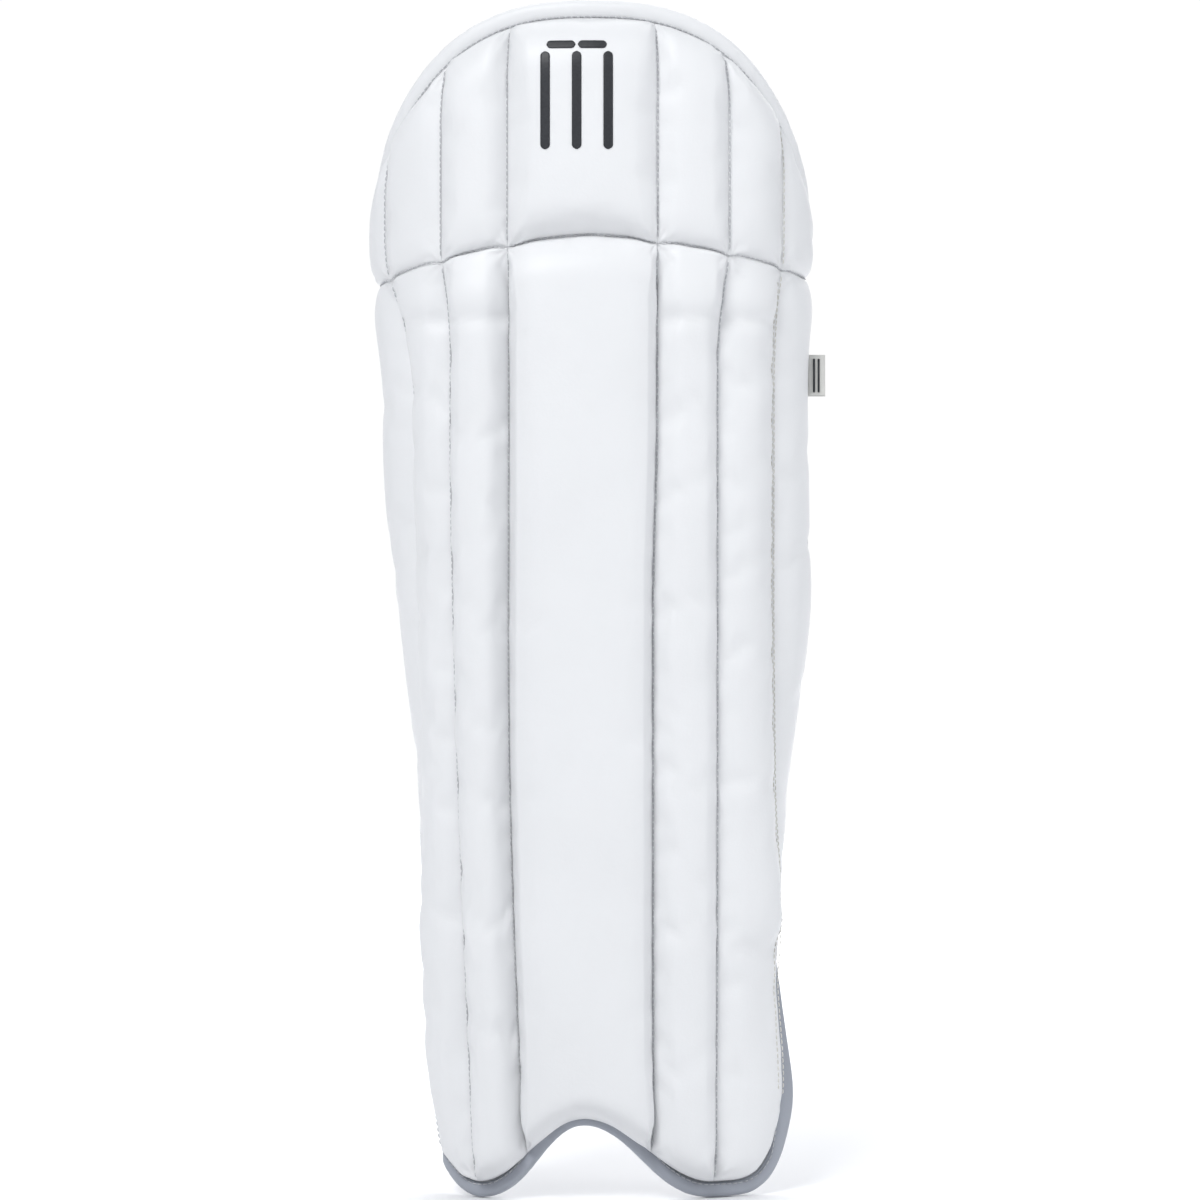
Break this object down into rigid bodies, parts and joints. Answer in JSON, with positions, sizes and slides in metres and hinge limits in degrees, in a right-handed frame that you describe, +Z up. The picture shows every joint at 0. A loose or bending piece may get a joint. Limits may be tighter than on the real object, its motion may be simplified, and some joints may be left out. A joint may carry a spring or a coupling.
{
  "type": "cricket leg pad",
  "caption": "Wicket-keeper's leg guard: stuffed front channels over canes, a padded knee flap, side wings that wrap the leg, and hook-and-loop straps behind.",
  "frame": {"origin": "on the axis of the wearer's leg, level with the lowest point of the instep edge", "axes": "+Z up the leg, -Y out of the front of the shin, +X to the right when seen from the front"},
  "size_m": [0.2473, 0.1454, 0.6312],
  "materials": {
    "cover": "matt white polyurethane-coated cloth, finely grained",
    "filling": "foam and cotton wadding",
    "cane": "bare rattan",
    "board": "pressed high-density foam sheet",
    "lining": "plain woven lining",
    "towelling": "brushed towelling",
    "binding": "rolled white edge binding",
    "instep_binding": "rolled grey edge binding",
    "webbing": "woven white webbing",
    "hook_tape": "hook tape on a webbing end",
    "loop_tape": "soft loop tape",
    "label": "folded woven tape, blank",
    "emblem": "charcoal print"
  },
  "bodies": {
    "shin": {"left_outer_cover": "cover", "left_inner_cover": "cover", "centre_cover": "cover", "right_inner_cover": "cover", "right_outer_cover": "cover", "left_outer_filling": "filling", "left_inner_filling": "filling", "centre_filling": "filling", "right_inner_filling": "filling", "right_outer_filling": "filling", "centre_cane_1": "cane", "centre_cane_2": "cane", "centre_cane_3": "cane", "left_inner_cane": "cane", "right_inner_cane": "cane", "shin_backing": "board", "shin_lining": "lining", "shin_bolster_left": "towelling", "shin_bolster_right": "towelling", "knee_bolster": "towelling", "instep_binding": "instep_binding"},
    "knee_flap": {"flap_left_outer_cover": "cover", "flap_left_inner_cover": "cover", "flap_centre_cover": "cover", "flap_right_inner_cover": "cover", "flap_right_outer_cover": "cover", "flap_left_outer_filling": "filling", "flap_left_inner_filling": "filling", "flap_centre_filling": "filling", "flap_right_inner_filling": "filling", "flap_right_outer_filling": "filling", "flap_left_edge_cover": "cover", "flap_right_edge_cover": "cover", "flap_backing": "board", "flap_lining": "lining", "flap_binding": "binding", "knee_cup": "towelling", "emblem": "emblem"},
    "left_wing": {"left_wing_cover": "cover", "left_wing_foam": "filling", "left_wing_lining": "lining", "left_wing_binding": "binding", "calf_anchor": "webbing", "ankle_anchor": "webbing"},
    "right_wing": {"right_wing_cover": "cover", "right_wing_foam": "filling", "right_wing_lining": "lining", "right_wing_binding": "binding", "calf_loop_patch": "loop_tape", "ankle_loop_patch": "loop_tape", "side_label": "label"},
    "calf_strap": {"calf_strap": "webbing"},
    "calf_tab": {"calf_tab": "hook_tape"},
    "ankle_strap": {"ankle_strap": "webbing"},
    "ankle_tab": {"ankle_tab": "hook_tape"}
  },
  "joints": [
    {"name": "knee_flap_tilt", "type": "hinge", "parent": "shin", "child": "knee_flap", "pos_m": [0, -0.0602, 0.5056], "axis": [1, 0, 0], "range_deg": [0, 16]},
    {"name": "left_wing_flex", "type": "hinge", "parent": "shin", "child": "left_wing", "pos_m": [-0.09276, -0.0251, 0.32], "axis": [-0.0443, -0.0044, 0.999], "range_deg": [0, 15]},
    {"name": "right_wing_flex", "type": "hinge", "parent": "shin", "child": "right_wing", "pos_m": [0.09738, -0.02735, 0.32], "axis": [-0.0031, -0.0051, 1], "range_deg": [-15, 0]},
    {"name": "calf_strap_swing", "type": "hinge", "parent": "left_wing", "child": "calf_strap", "pos_m": [-0.08778, 0.04138, 0.33], "axis": [-0.1277, 0.0011, 0.9918], "range_deg": [0, 100]},
    {"name": "ankle_strap_swing", "type": "hinge", "parent": "left_wing", "child": "ankle_strap", "pos_m": [-0.07359, 0.0411, 0.232], "axis": [-0.1453, 0.0052, 0.9894], "range_deg": [0, 100]},
    {"name": "calf_tab_peel", "type": "hinge", "parent": "calf_strap", "child": "calf_tab", "pos_m": [0.10282, 0.04024, 0.33], "axis": [-0.0061, 0, 1], "range_deg": [0, 70]},
    {"name": "ankle_tab_peel", "type": "hinge", "parent": "ankle_strap", "child": "ankle_tab", "pos_m": [0.09049, 0.04011, 0.232], "axis": [0.1671, 0.0052, 0.9859], "range_deg": [0, 70]}
  ],
  "couplings": [
    {"joint": "right_wing_flex", "follows": "left_wing_flex", "ratio": -1}
  ]
}
